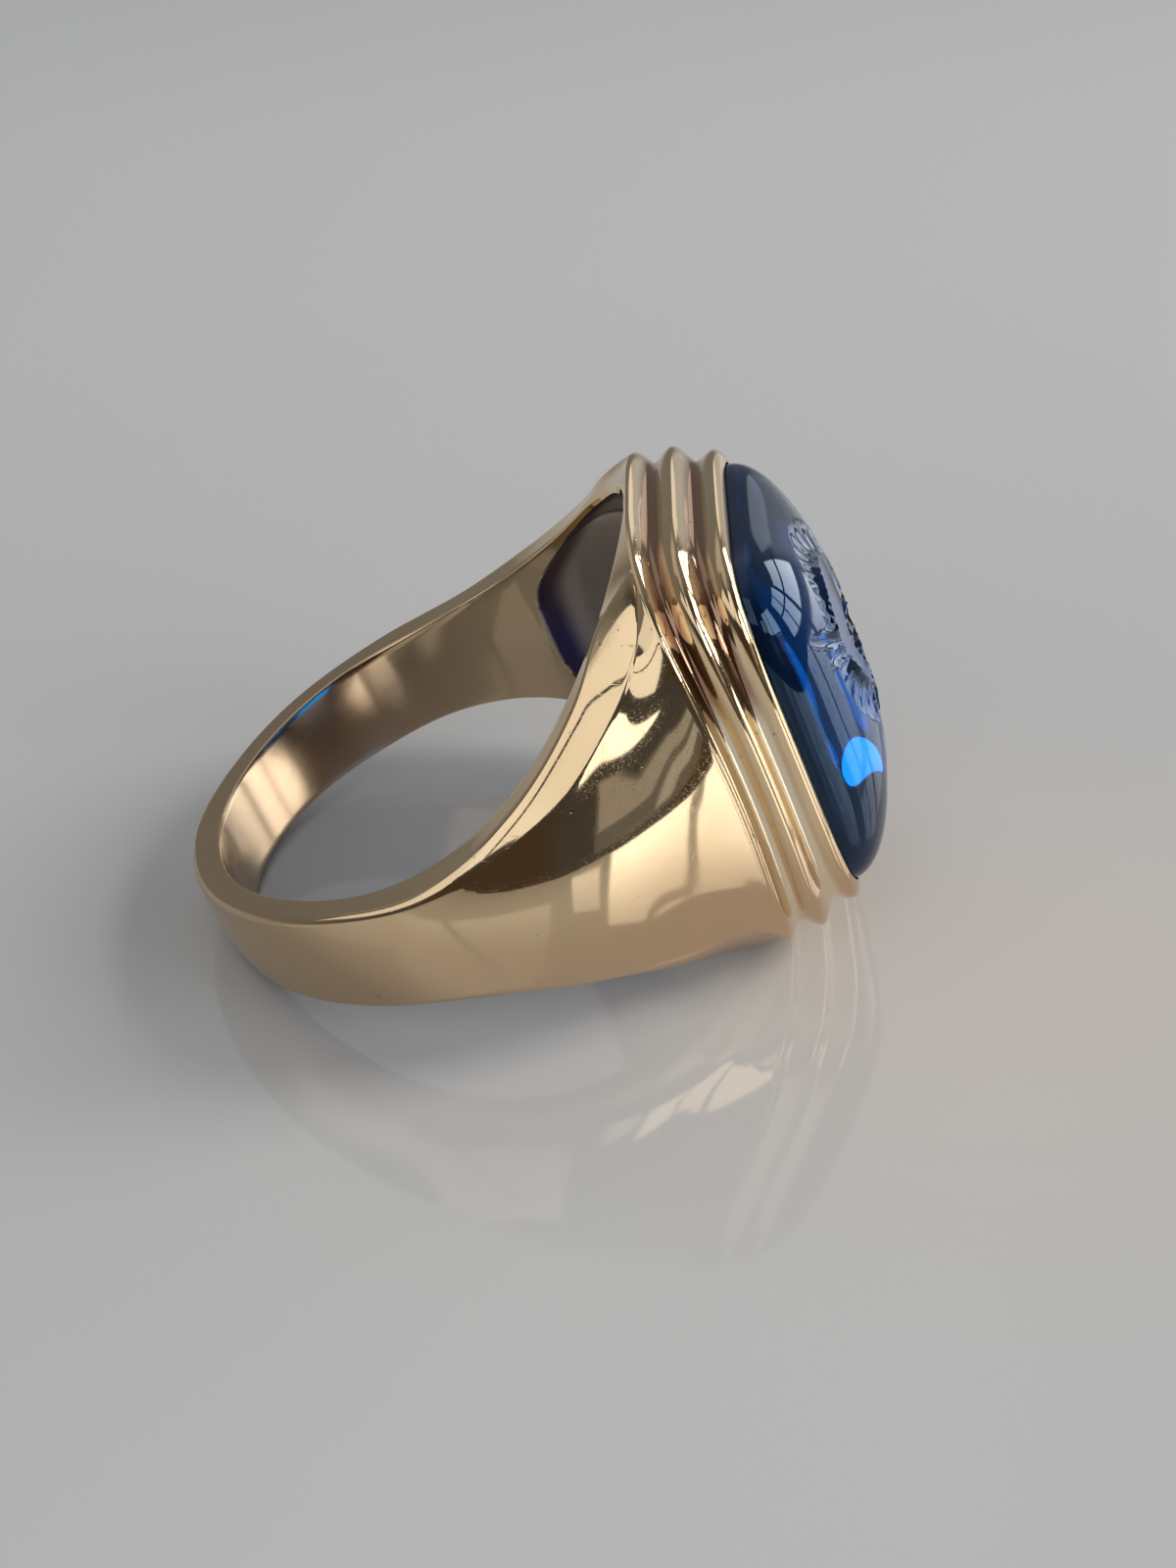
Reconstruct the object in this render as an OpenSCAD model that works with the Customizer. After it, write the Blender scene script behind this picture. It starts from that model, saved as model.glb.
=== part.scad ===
// Signet ring: a gold band that widens into a ribbed cushion bezel, and a carved domed stone.
// Millimetres. The ring is drawn upright in its own frame: X towards the stone, Z along the
// finger, the origin on the axis of the finger hole. At the end it is leaned by lie_tilt about Y,
// the way it lies on a table on the lower rib of its bezel and the back of its band.

/* [Finger hole] */
// Radius of the finger hole
bore_r = 9.9; // [8.5:0.1:11]
// Lean of the finger axis when the ring lies on a table
lie_tilt = 18.9; // [10:0.1:30]

/* [Stone] */
// Half width of the stone at its girdle, across the finger
stone_b = 6.45; // [5:0.1:8]
// Half length of the stone at its girdle, along the finger
stone_a = 7.0; // [5:0.1:9]
// Squareness of the stone's outline
stone_n = 5.2; // [2:0.1:8]
// Height of the girdle over the finger axis
girdle_x = 13.3; // [12:0.1:15]
// Height of the dome over the girdle
dome_h = 2.95; // [1:0.05:4]
// Height of the stone's flat back over the finger axis
back_x = 11.5; // [11:0.05:12]
// Gap between stone and gold
seat_gap = 0.05; // [0.03:0.01:0.15]
// Depth of the deepest cut of the motif
cut_depth = 0.62; // [0:0.02:0.8]

/* [Bezel] */
// Height of the ledge that the stone sits on
ledge_x = 11.45; // [11:0.05:12]

/* [Hidden] */

// Rim and side of the band by angle from the stone, from the back to the shoulder.
// Columns: angle, rim radius, chamfer radius, side radius, rim half height, chamfer half height
BAND = [
    [180, 11.00, 11.18, 11.25, 1.66, 1.42],
    [160, 10.87, 11.05, 11.14, 1.72, 1.48],
    [135, 10.84, 11.00, 11.10, 1.95, 1.72],
    [110, 10.98, 11.17, 11.38, 2.14, 1.92],
    [ 90, 11.24, 11.47, 11.74, 2.44, 2.14],
    [ 70, 11.16, 11.62, 12.12, 3.82, 3.04],
    [ 50, 10.82, 11.73, 12.45, 5.81, 4.64],
    [ 35, 10.53, 11.70, 13.40, 7.51, 6.69],
];

// Levels of the bezel from the first rib to the lip.
// Columns: height at the ends, half width, half length, bow of the long sides, squareness
LEVELS = [
    [10.05, 7.80, 8.85, 0.70, 3.7],
    [10.75, 7.22, 8.15, 0.53, 4.1],
    [11.55, 7.47, 8.42, 0.37, 4.4],
    [12.32, 6.87, 7.62, 0.20, 4.4],
    [13.00, 7.03, 7.82, 0.07, 4.4],
    [13.38, 6.64, 7.28, 0.00, 4.9],
];
// Rings of points on the way from each level to the next
LEVEL_STEPS = [5, 5, 4, 4, 3];

// Hollow behind the stone as cushion sections, from the finger hole out to the pocket.
// Columns: height over the finger axis, half width, half length
HOLLOW = [
    [ 2.60, 9.52, 5.60],
    [ 4.20, 9.40, 6.60],
    [ 5.40, 9.08, 7.20],
    [ 6.80, 8.45, 7.75],
    [ 8.10, 7.75, 8.00],
    [ 9.20, 7.05, 7.90],
    [10.00, 6.60, 7.30],
    [10.80, 6.10, 6.60],
    [11.60, 5.60, 6.20],
];
// Edge of the hollow in the finger hole, seen from the side of the ring.
// Columns: height over the finger axis, half length
HOLLOW_EDGE = [
    [ 3.10, 0.80],
    [ 3.30, 1.75],
    [ 3.70, 2.55],
    [ 4.40, 3.30],
    [ 5.30, 4.05],
    [ 6.40, 4.95],
    [ 7.60, 6.00],
    [ 9.00, 7.30],
    [10.40, 8.60],
];

// Motif: a helmeted head in profile with a crest and a wing, sunk into the stone as rounded hollows:
// helmet, brim, face, jaw, nose, chin, cheek guard, neck, shoulders and three feathers.
// Columns: y and z of the middle, half sizes, turn in degrees, depth as a share of cut_depth
MOTIF = [
    [-0.10,  1.70, 2.70, 2.10,   8, 0.72],
    [ 1.20,  0.66, 1.85, 0.27,  13, 0.96],
    [ 1.35, -0.45, 1.50, 1.40,  -8, 0.70],
    [ 1.50, -1.45, 1.25, 1.10,  22, 0.74],
    [ 2.85, -0.10, 0.42, 0.80,  20, 0.78],
    [ 2.40, -1.95, 0.56, 0.44,  16, 0.84],
    [ 0.15, -0.70, 0.80, 1.40,   8, 1.00],
    [-0.50, -2.45, 1.15, 1.80,  16, 0.76],
    [ 0.10, -4.30, 3.40, 0.90,   4, 0.90],
    [-3.55,  2.50, 1.95, 0.44, -33, 0.98],
    [-3.25,  1.62, 1.60, 0.36, -22, 0.90],
    [-2.85,  0.88, 1.30, 0.32, -10, 0.84],
];
// Crest of the helmet: a lobed band round the back of the head
crest_y = -0.15;
crest_z = 1.35;
crest_in = 2.5;
crest_out = 4.1;
crest_from = 40;
crest_to = 240;
crest_lobes = 16;
// How sharply one hollow of the motif gives way to the next
merge = 7;

// Points round one ring: a quarter has 20, shared at the quarter lines
Q = 19;
N = 4 * Q;
rim_turn = 60;
edge_turn = 57.5;
band_rings = 25;

function mix(a, b, t) = a + (b - a) * t;
function total(v, i = 0) = i >= len(v) ? 0 : v[i] + total(v, i + 1);
function ease(t) = (1 - cos(180 * t)) / 2;

// Value at v of column c in a table sorted by a falling or rising first column, run smoothly through the rows
function row_at(t, v, i = 0) =
    i >= len(t) - 2 ? len(t) - 2
    : (t[i][0] - v) * (t[i + 1][0] - v) <= 0 ? i
    : row_at(t, v, i + 1);
function slope(t, i, c) =
    i <= 0 ? (t[1][c] - t[0][c]) / (t[1][0] - t[0][0])
    : i >= len(t) - 1 ? (t[i][c] - t[i - 1][c]) / (t[i][0] - t[i - 1][0])
    : let(
        h0 = t[i][0] - t[i - 1][0],
        h1 = t[i + 1][0] - t[i][0],
        d0 = (t[i][c] - t[i - 1][c]) / h0,
        d1 = (t[i + 1][c] - t[i][c]) / h1
    ) (d0 * h1 + d1 * h0) / (h0 + h1);
function table(t, v, c) =
    let(
        i = row_at(t, v),
        h = t[i + 1][0] - t[i][0],
        u = (v - t[i][0]) / h,
        p = t[i][c],
        q = t[i + 1][c],
        m = slope(t, i, c) * h,
        n = slope(t, i + 1, c) * h
    ) (2*u*u*u - 3*u*u + 1) * p + (u*u*u - 2*u*u + u) * m + (3*u*u - 2*u*u*u) * q + (u*u*u - u*u) * n;

// Distance from the middle to a cushion outline of half sizes b and a and squareness n
function cushion(turn, b, a, n) = pow(pow(abs(cos(turn)) / b, n) + pow(abs(sin(turn)) / a, n), -1 / n);

// A quarter of one bezel ring, from the side (+Y) to the end (+Z)
function ring_turn(k) =
    k <= 10 ? edge_turn * k / 10
    : k <= 13 ? mix(edge_turn, rim_turn, (k - 10) / 3)
    : mix(rim_turn, 90, (k - 13) / 6);
function bezel_point(k, x, b, a, bow, n) =
    let(
        turn = ring_turn(k),
        r = cushion(turn, b, a, n),
        z = r * sin(turn)
    ) [x + bow * (1 - z * z / (a * a)), r * cos(turn), z];
function bezel_quarter(l) = [for (k = [0 : Q]) bezel_point(k, l[0], l[1], l[2], l[3], l[4])];

// The ring of the first rib, where the shoulders end
RIB1 = bezel_quarter(LEVELS[0]);
function polar(p) = [atan2(p[1], p[0]), sqrt(p[0] * p[0] + p[1] * p[1])];
SIDE_END = polar(RIB1[0]);
EDGE_END = polar(RIB1[10]);
RIM_END = polar(RIB1[13]);
SIDE_TABLE = concat([for (r = BAND) if (r[0] > 40) [r[0], r[3]]], [[42, 12.86], [SIDE_END[0], SIDE_END[1]]]);
EDGE_TABLE = concat([for (r = BAND) [r[0], r[2], r[5]]], [[EDGE_END[0], EDGE_END[1], RIB1[10][2]]]);
RIM_TABLE = concat([for (r = BAND) [r[0], r[1], r[4]]], [[RIM_END[0], RIM_END[1], RIB1[13][2]]]);

// A quarter of one band ring at s = 0 (back) to 1 (first rib)
function on_table(t, s, first = 178.6) =
    let(
        v = mix(first, t[len(t) - 1][0], s),
        r = table(t, v, 1)
    ) [r * cos(v), r * sin(v), len(t[0]) > 2 ? table(t, v, 2) : 0];
function band_raw(s) =
    let(
        side = on_table(SIDE_TABLE, s),
        edge = on_table(EDGE_TABLE, s),
        rim = on_table(RIM_TABLE, s)
    ) [
        for (k = [0 : Q])
            k <= 10 ? let(
                z = edge[2] * sin(edge_turn * k / 10) / sin(edge_turn),
                w = pow(z / edge[2], 2)
            ) [mix(side[0], edge[0], w), mix(side[1], edge[1], w), z]
            : k <= 13 ? mix(edge, rim, (k - 10) / 3)
            : [rim[0], rim[1] * (Q - k) / 6, rim[2]]
    ];
LAST = band_raw(1);
function band_quarter(s) =
    let(
        raw = band_raw(s),
        w = pow(max(0, (s - 0.85) / 0.15), 2.5)
    ) [for (k = [0 : Q]) raw[k] + (RIB1[k] - LAST[k]) * w];

// A full ring of points from its quarter
function full(q) = [
    for (j = [0 : N - 1])
        j <= Q ? q[j]
        : j <= 2 * Q ? [q[2 * Q - j][0], -q[2 * Q - j][1], q[2 * Q - j][2]]
        : j <= 3 * Q ? [q[j - 2 * Q][0], -q[j - 2 * Q][1], -q[j - 2 * Q][2]]
        : [q[N - j][0], q[N - j][1], -q[N - j][2]]
];

BEZEL_RINGS = [
    for (i = [0 : len(LEVEL_STEPS) - 1])
        for (k = [1 : LEVEL_STEPS[i]])
            let(
                t = k / LEVEL_STEPS[i],
                e = ease(t),
                lo = LEVELS[i],
                hi = LEVELS[i + 1]
            ) bezel_quarter([for (c = [0 : 4]) mix(lo[c], hi[c], c == 1 || c == 2 ? e : t)])
];
BODY_RINGS = concat([for (i = [0 : band_rings - 1]) band_quarter(i / (band_rings - 1))], BEZEL_RINGS);

// Closed solid through a list of rings with the same number of points, listed towards +X
module loft(rings) {
    n = len(rings[0]);
    m = len(rings);
    first = [rings[0][0][0], 0, 0];
    last = [rings[m - 1][0][0], 0, 0];
    points = concat([for (r = rings) for (p = r) p], [first, last]);
    polyhedron(
        points = points,
        faces = concat(
            [for (i = [0 : m - 2]) for (j = [0 : n - 1]) [i * n + j, (i + 1) * n + j, (i + 1) * n + (j + 1) % n]],
            [for (i = [0 : m - 2]) for (j = [0 : n - 1]) [i * n + j, (i + 1) * n + (j + 1) % n, i * n + (j + 1) % n]],
            [for (j = [0 : n - 1]) [m * n, j, (j + 1) % n]],
            [for (j = [0 : n - 1]) [m * n + 1, (m - 1) * n + (j + 1) % n, (m - 1) * n + j]]
        ),
        convexity = 8
    );
}

// The filled outer form of the gold
module outer_form() {
    loft([for (q = BODY_RINGS) full(q)]);
}

// The hollow behind the stone: cushion sections, met by the outline seen from the side
module hollow() {
    steps = 12;
    sides = 48;
    last = len(HOLLOW) - 1;
    intersection() {
        loft([
            for (i = [0 : steps])
                let(x = mix(HOLLOW[0][0], HOLLOW[last][0], i / steps))
                [for (j = [0 : sides - 1])
                    let(
                        turn = 360 * j / sides,
                        r = cushion(turn, table(HOLLOW, x, 1), table(HOLLOW, x, 2), 3)
                    ) [x, r * cos(turn), r * sin(turn)]]
        ]);
        rotate([90, 0, 0])
        linear_extrude(height = 24, center = true)
        polygon(concat(
            [for (i = [0 : 16]) let(x = edge_x(i / 16)) [x, table(HOLLOW_EDGE, x, 1)]],
            [[12, 10], [12, -10]],
            [for (i = [16 : -1 : 0]) let(x = edge_x(i / 16)) [x, -table(HOLLOW_EDGE, x, 1)]]
        ));
    }
}
// Heights along the edge of the hollow, closer together where it turns
function edge_x(t) = mix(HOLLOW_EDGE[0][0], HOLLOW_EDGE[len(HOLLOW_EDGE) - 1][0], pow(t, 1.7));

// Turns of the points round the stone: finer at the corners
function stone_turn(j, sides) = let(t = 360 * j / sides) t + 6 * sin(4 * t);

// The pocket that the stone sits in
module pocket() {
    sides = 96;
    translate([ledge_x, 0, 0])
    rotate([90, 0, 90])
    linear_extrude(height = 3)
    polygon([
        for (j = [0 : sides - 1])
            let(
                turn = stone_turn(j, sides),
                r = cushion(turn, stone_b, stone_a, stone_n) + seat_gap
            ) [r * cos(turn), r * sin(turn)]
    ]);
}

module ring_body_upright() {
    difference() {
        outer_form();
        cylinder(r = bore_r, h = 40, center = true, $fn = 180);
        hollow();
        pocket();
    }
}

// Depth of the motif at a point of the stone's face
function turned(y, z, m) =
    let(c = cos(m[4]), s = sin(m[4]))
    [((y - m[0]) * c + (z - m[1]) * s) / m[2], ((z - m[1]) * c - (y - m[0]) * s) / m[3]];
function bowl(y, z, m) =
    let(q = turned(y, z, m), d = q[0] * q[0] + q[1] * q[1])
    d >= 1 ? 0 : m[5] * pow(1 - d, 0.6);
function crest(y, z) =
    let(
        dy = y - crest_y,
        dz = z - crest_z,
        r = sqrt(dy * dy + dz * dz),
        a = (atan2(dz, dy) + 360) % 360,
        t = (a - crest_from) / (crest_to - crest_from),
        u = (r - crest_in) / (crest_out - crest_in)
    ) t <= 0 || t >= 1 || u <= 0 || u >= 1 ? 0
        : (0.62 + 0.24 * cos(360 * crest_lobes * t)) * pow(4 * u * (1 - u), 0.5) * pow(min(1, 6 * t * (1 - t)), 0.5);
function motif(y, z) =
    cut_depth * pow(total(concat([for (m = MOTIF) pow(bowl(y, z, m), merge)], [pow(crest(y, z), merge)])), 1 / merge);

// A point of the face: u and v run from -1 to 1 over a square that is drawn out to the cushion,
// rounder towards the middle
function face_point(u, v) =
    let(
        t = max(abs(u), abs(v)),
        turn = t == 0 ? 0 : atan2(v * stone_a, u * stone_b),
        r = t * cushion(turn, stone_b, stone_a, mix(2, stone_n, pow(t, 1.5))),
        y = r * cos(turn),
        z = r * sin(turn),
        x = girdle_x + dome_h * sqrt(max(0, 1 - t * t))
    ) [x - motif(y, z), y, z];
function round_step(t) = sin(90 * t);

module intaglio_stone_upright() {
    g = 24;
    side = 2 * g;
    n = 4 * side;
    // the square's edge, walked round from one corner, as grid places
    edge = concat(
        [for (i = [0 : side - 1]) [i, 0]],
        [for (i = [0 : side - 1]) [side, i]],
        [for (i = [0 : side - 1]) [side - i, side]],
        [for (i = [0 : side - 1]) [0, side - i]]
    );
    grid = [
        for (j = [0 : side]) for (i = [0 : side])
            let(
                u = i / g - 1,
                v = j / g - 1,
                t = max(abs(u), abs(v)),
                k = t == 0 ? 1 : round_step(t) / t
            ) face_point(u * k, v * k)
    ];
    rows = side + 1;
    base = rows * rows;
    wall = [
        for (e = edge)
            let(p = grid[e[1] * rows + e[0]])
            [back_x, p[1] * 0.985, p[2] * 0.985]
    ];
    polyhedron(
        points = concat(grid, wall, [[back_x, 0, 0]]),
        faces = concat(
            [for (j = [0 : side - 1]) for (i = [0 : side - 1])
                [j * rows + i, (j + 1) * rows + i + 1, j * rows + i + 1]],
            [for (j = [0 : side - 1]) for (i = [0 : side - 1])
                [j * rows + i, (j + 1) * rows + i, (j + 1) * rows + i + 1]],
            [for (k = [0 : n - 1])
                let(
                    a = edge[k][1] * rows + edge[k][0],
                    b = edge[(k + 1) % n][1] * rows + edge[(k + 1) % n][0]
                ) [a, b, base + (k + 1) % n]],
            [for (k = [0 : n - 1])
                let(a = edge[k][1] * rows + edge[k][0])
                [a, base + (k + 1) % n, base + k]],
            [for (k = [0 : n - 1]) [base + n, base + k, base + (k + 1) % n]]
        ),
        convexity = 6
    );
}

module ring_body() {
    color([0.83, 0.66, 0.36])
    rotate([0, -lie_tilt, 0])
    ring_body_upright();
}

module intaglio_stone() {
    color([0.06, 0.12, 0.42])
    rotate([0, -lie_tilt, 0])
    intaglio_stone_upright();
}

ring_body();
intaglio_stone();
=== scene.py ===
"""Looks of a gold signet ring with a ribbed cushion bezel and a carved blue stone, lying on its side."""

import math

import bmesh
import bpy
import numpy as np
from mathutils import Matrix, Vector


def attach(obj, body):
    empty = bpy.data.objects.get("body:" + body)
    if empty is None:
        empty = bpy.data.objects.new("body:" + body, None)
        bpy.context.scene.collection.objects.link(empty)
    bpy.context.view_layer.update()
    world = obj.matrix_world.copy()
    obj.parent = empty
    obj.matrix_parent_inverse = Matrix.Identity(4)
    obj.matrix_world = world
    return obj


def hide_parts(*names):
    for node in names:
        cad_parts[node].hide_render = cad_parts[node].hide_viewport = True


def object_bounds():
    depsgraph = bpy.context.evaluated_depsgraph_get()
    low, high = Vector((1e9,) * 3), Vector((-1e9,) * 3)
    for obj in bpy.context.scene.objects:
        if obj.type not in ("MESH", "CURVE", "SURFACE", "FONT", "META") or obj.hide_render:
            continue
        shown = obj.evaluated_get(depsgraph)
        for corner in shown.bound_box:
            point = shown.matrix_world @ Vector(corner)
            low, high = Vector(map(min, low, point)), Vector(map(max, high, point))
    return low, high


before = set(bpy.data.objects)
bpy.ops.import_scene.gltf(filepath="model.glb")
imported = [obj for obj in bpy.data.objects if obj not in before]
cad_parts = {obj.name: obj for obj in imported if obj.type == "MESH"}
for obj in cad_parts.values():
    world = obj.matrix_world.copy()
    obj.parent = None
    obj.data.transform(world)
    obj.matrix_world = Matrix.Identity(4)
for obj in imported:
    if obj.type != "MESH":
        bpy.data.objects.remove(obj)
cad_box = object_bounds()

# The ring is drawn in millimetres in its own upright frame, X to the stone and Z along the finger,
# then leaned about Y and brought to metres, as part.scad leans it. It is drawn 0.07% small and its
# dome 0.005 mm low, so that its rounder surfaces stay inside the box of the solids
LEAN = 18.9
MILLIMETRE = 0.0009993
PLACE = Matrix.Rotation(math.radians(-LEAN), 4, "Y") @ Matrix.Scale(MILLIMETRE, 4)

BORE_R = 9.9
STONE_B = 6.45
STONE_A = 7.0
STONE_N = 5.2
GIRDLE_X = 13.3
DOME_H = 2.945
BACK_X = 11.5
LEDGE_X = 11.45
SEAT_GAP = 0.05
CUT_DEPTH = 0.62
# Lower edge of the stone. Columns: how far in from the girdle's outline, height
STONE_EDGE = [(0.0, GIRDLE_X - 0.12), (0.06, BACK_X + 0.10), (0.16, BACK_X)]

# Columns: angle from the stone, rim radius, chamfer radius, side radius,
# rim half height, chamfer half height
BAND = [
    (180, 11.00, 11.18, 11.25, 1.66, 1.42),
    (160, 10.87, 11.05, 11.14, 1.72, 1.48),
    (135, 10.84, 11.00, 11.10, 1.95, 1.72),
    (110, 10.98, 11.17, 11.38, 2.14, 1.92),
    (90, 11.24, 11.47, 11.74, 2.44, 2.14),
    (70, 11.16, 11.62, 12.12, 3.82, 3.04),
    (50, 10.82, 11.73, 12.45, 5.81, 4.64),
    (35, 10.53, 11.70, 13.40, 7.51, 6.69),
]
# Angle and side radius where the shoulder runs up to the first rib
SHOULDER = (42, 12.86)
# Columns: angle from the stone, half height of the finger hole's edge
HOLE_EDGE = [
    (0, 8.74),
    (12, 8.50),
    (20, 8.12),
    (40, 6.46),
    (60, 4.44),
    (80, 2.93),
    (100, 2.20),
    (125, 2.02),
    (150, 1.80),
    (180, 1.66),
]
# Angle at which the finger hole's edge leaves the end of the bezel
HOLE_TURN = 24.0
# Columns: angle from the stone, half height of the hollow's edge in the finger hole
WINDOW = [
    (0, 7.80),
    (12, 7.80),
    (21, 7.62),
    (36, 6.50),
    (47, 5.42),
    (58, 4.10),
    (65, 3.10),
    (68, 2.60),
    (70, 2.05),
    (71, 1.50),
    (71.5, 0.80),
    (71.6, 0.0),
]
WINDOW_TURN = WINDOW[-1][0]
# Share of the band's lines that runs beside the hollow
WINDOW_SHARE = 0.335
# Columns: height at the ends, half width, half length, bow of the long sides, squareness
LEVELS = [
    (10.05, 7.80, 8.85, 0.70, 3.7),
    (10.75, 7.22, 8.15, 0.53, 4.1),
    (11.55, 7.47, 8.42, 0.37, 4.4),
    (12.32, 6.87, 7.62, 0.20, 4.4),
    (13.00, 7.03, 7.82, 0.07, 4.4),
]
LIP = (13.37, 6.52, 7.07, 0.0, 5.2)
SEAT = (LEDGE_X, STONE_B + SEAT_GAP, STONE_A + SEAT_GAP, 0.0, STONE_N)
OPENING = (LEDGE_X, 5.60, 6.20, 0.0, 3.0)
# Where the band's lines start to bend onto the first rib, over what share of the way, how sharply
BEND = (0.85, 0.15, 2.5)
# Reach of the small arcs at the finger hole, at the rim and at the chamfer's outer line.
# The last two fade out over a share of the way before the first rib
HOLE_ARC = 0.11
RIM_ARC = 0.10
EDGE_ARC = 0.14
ARC_FADE = 0.05
# Rise of the chamfer's middle as a share of its width
CHAMFER_CROWN = 0.03
# Handles of the hollow's curve from its edge in the finger hole to the opening under the stone.
# Columns: share of the height, share of the change in radius added at that end
HOLLOW_HANDLES = [(0.185, 0.085), (0.65, 0.63)]
# Power that draws the hollow's steps together at the finger hole
HOLLOW_CROWD = 1.3

# Recess, a value on the gold's points that the finish reads: 0 in the open, COVE at the bottom of
# the coves between the ribs, these shares of the way along the hollow, and 1 on the ledge
COVE = 0.3
HOLLOW_RECESS = [(0, 0), (0.06, 0.98), (0.2, 0.98), (0.34, 0.74), (1, 0.74)]

# Motif: helmet, brim, peak, face, jaw, brow, nose, two lips, chin, eye, cheek guard, neck,
# shoulders, two folds and three feathers.
# Columns: y and z of the middle, half sizes, turn in degrees, depth as a share of the deepest cut
MOTIF = [
    (-0.10, 1.70, 2.70, 2.10, 8, 0.72),
    (1.20, 0.66, 1.85, 0.27, 13, 0.96),
    (3.05, 0.98, 0.50, 0.20, 30, 0.92),
    (1.35, -0.45, 1.50, 1.40, -8, 0.70),
    (1.50, -1.45, 1.25, 1.10, 22, 0.74),
    (2.74, 0.12, 0.34, 0.78, 22, 0.74),
    (3.05, -0.44, 0.36, 0.28, -20, 0.86),
    (2.72, -0.96, 0.42, 0.20, 6, 0.80),
    (2.64, -1.32, 0.40, 0.19, -4, 0.78),
    (2.40, -1.95, 0.56, 0.44, 16, 0.84),
    (2.08, 0.02, 0.36, 0.15, 6, 0.98),
    (0.15, -0.70, 0.80, 1.40, 8, 1.00),
    (-0.50, -2.45, 1.15, 1.80, 16, 0.76),
    (0.10, -4.30, 3.40, 0.90, 4, 0.90),
    (-0.30, -4.72, 2.50, 0.18, 8, 1.02),
    (0.60, -4.00, 2.20, 0.17, -6, 1.02),
    (-3.55, 2.50, 1.95, 0.44, -33, 0.98),
    (-3.25, 1.62, 1.60, 0.36, -22, 0.90),
    (-2.85, 0.88, 1.30, 0.32, -10, 0.84),
]
CREST_MIDDLE = (-0.15, 1.35)
CREST_RADII = (2.5, 4.1)
CREST_ARC = (40, 240)
CREST_LOBES = 16
# Depth of the crest and swing of its scallops, as shares of the deepest cut
CREST_DEPTH = 0.66
CREST_SCALLOP = 0.055
# How steeply a hollow of the motif starts, and how sharply one gives way to the next
BOWL = 0.6
MERGE = 7

# Steps of a quarter ring: side, chamfer and rim
SIDE_STEPS = 60
EDGE_STEPS = 4
RIM_STEPS = 26
QUARTER = SIDE_STEPS + EDGE_STEPS + RIM_STEPS
EDGE_TURN = 57.5
RIM_TURN = 60.0
WINDOW_STEPS = QUARTER - RIM_STEPS
BACK_STEPS = 44
# Steps of a small arc, of the finger hole's wall, of the rim's flat face and of the hollow
ARC_STEPS = 4
WALL_STEPS = 8
FACE_STEPS = 6
HOLLOW_STEPS = 24
# Rows of the bezel's profile from rib to cove, over the lip, down to the ledge and along it
RIB_ROWS = 12
LIP_ROWS = 10
SEAT_ROWS = 3
LEDGE_ROWS = 4
# Points along each side of the square grid that becomes the stone's face
STONE_POINTS = 221
# Points nearer than this become one, here in the bezel's nodes and then in the whole mesh
SEAM = 0.0002
SAME = 0.0015
# Edges shorter than this are dropped
SHORT = 0.0005


def operator(operation, turned=False):
    """A method of Wire that adds one Math node."""

    def work(one, other):
        pair = (other, one) if turned else (one, other)
        return one.web.math(operation, *pair)

    return work


class Wire:
    """A socket of a node tree. Sums on wires add the Math nodes that work them out."""

    def __init__(self, web, socket):
        self.web = web
        self.socket = socket

    __add__ = operator("ADD")
    __radd__ = operator("ADD", True)
    __sub__ = operator("SUBTRACT")
    __rsub__ = operator("SUBTRACT", True)
    __mul__ = operator("MULTIPLY")
    __rmul__ = operator("MULTIPLY", True)
    __truediv__ = operator("DIVIDE")
    __rtruediv__ = operator("DIVIDE", True)
    __pow__ = operator("POWER")
    __gt__ = operator("GREATER_THAN")
    __lt__ = operator("LESS_THAN")


class Web:
    """A node tree that is written as Python expressions."""

    def __init__(self, tree):
        self.tree = tree

    def node(self, kind, settings=None, values=None, out=0):
        made = self.tree.nodes.new(kind)
        for key, value in (settings or {}).items():
            setattr(made, key, value)
        for key, value in (values or {}).items():
            if isinstance(value, Wire):
                self.tree.links.new(value.socket, made.inputs[key])
            else:
                made.inputs[key].default_value = value
        return Wire(self, made.outputs[out])

    def end(self, kind, *wires):
        """Adds the node that the tree ends in, with the wires in its sockets."""
        made = self.tree.nodes.new(kind)
        for wire, place in zip(wires, made.inputs):
            self.tree.links.new(wire.socket, place)

    def math(self, operation, *values):
        return self.node("ShaderNodeMath", {"operation": operation}, dict(enumerate(values)))

    def sine(self, x):
        return self.math("SINE", x)

    def cosine(self, x):
        return self.math("COSINE", x)

    def clamp(self, x):
        return self.node("ShaderNodeClamp", None, {0: x, 1: 0.0, 2: 1.0})

    def ramp(self, x, low, high):
        """0 below low, 1 above high, smooth between."""
        values = {0: x, 1: low, 2: high, 3: 0.0, 4: 1.0}
        return self.node("ShaderNodeMapRange", {"interpolation_type": "SMOOTHSTEP"}, values)

    def split(self, vector):
        made = self.tree.nodes.new("ShaderNodeSeparateXYZ")
        self.tree.links.new(vector.socket, made.inputs[0])
        return [Wire(self, socket) for socket in made.outputs]

    def join(self, x, y, z):
        return self.node("ShaderNodeCombineXYZ", None, {0: x, 1: y, 2: z})

    def mix(self, factor, low, high):
        return self.node("ShaderNodeMix", {"data_type": "RGBA"}, {0: factor, 6: low, 7: high}, 2)


# Shapes in numbers: the rules of part.scad in finer steps, and a rule of its own for the hollow


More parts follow.
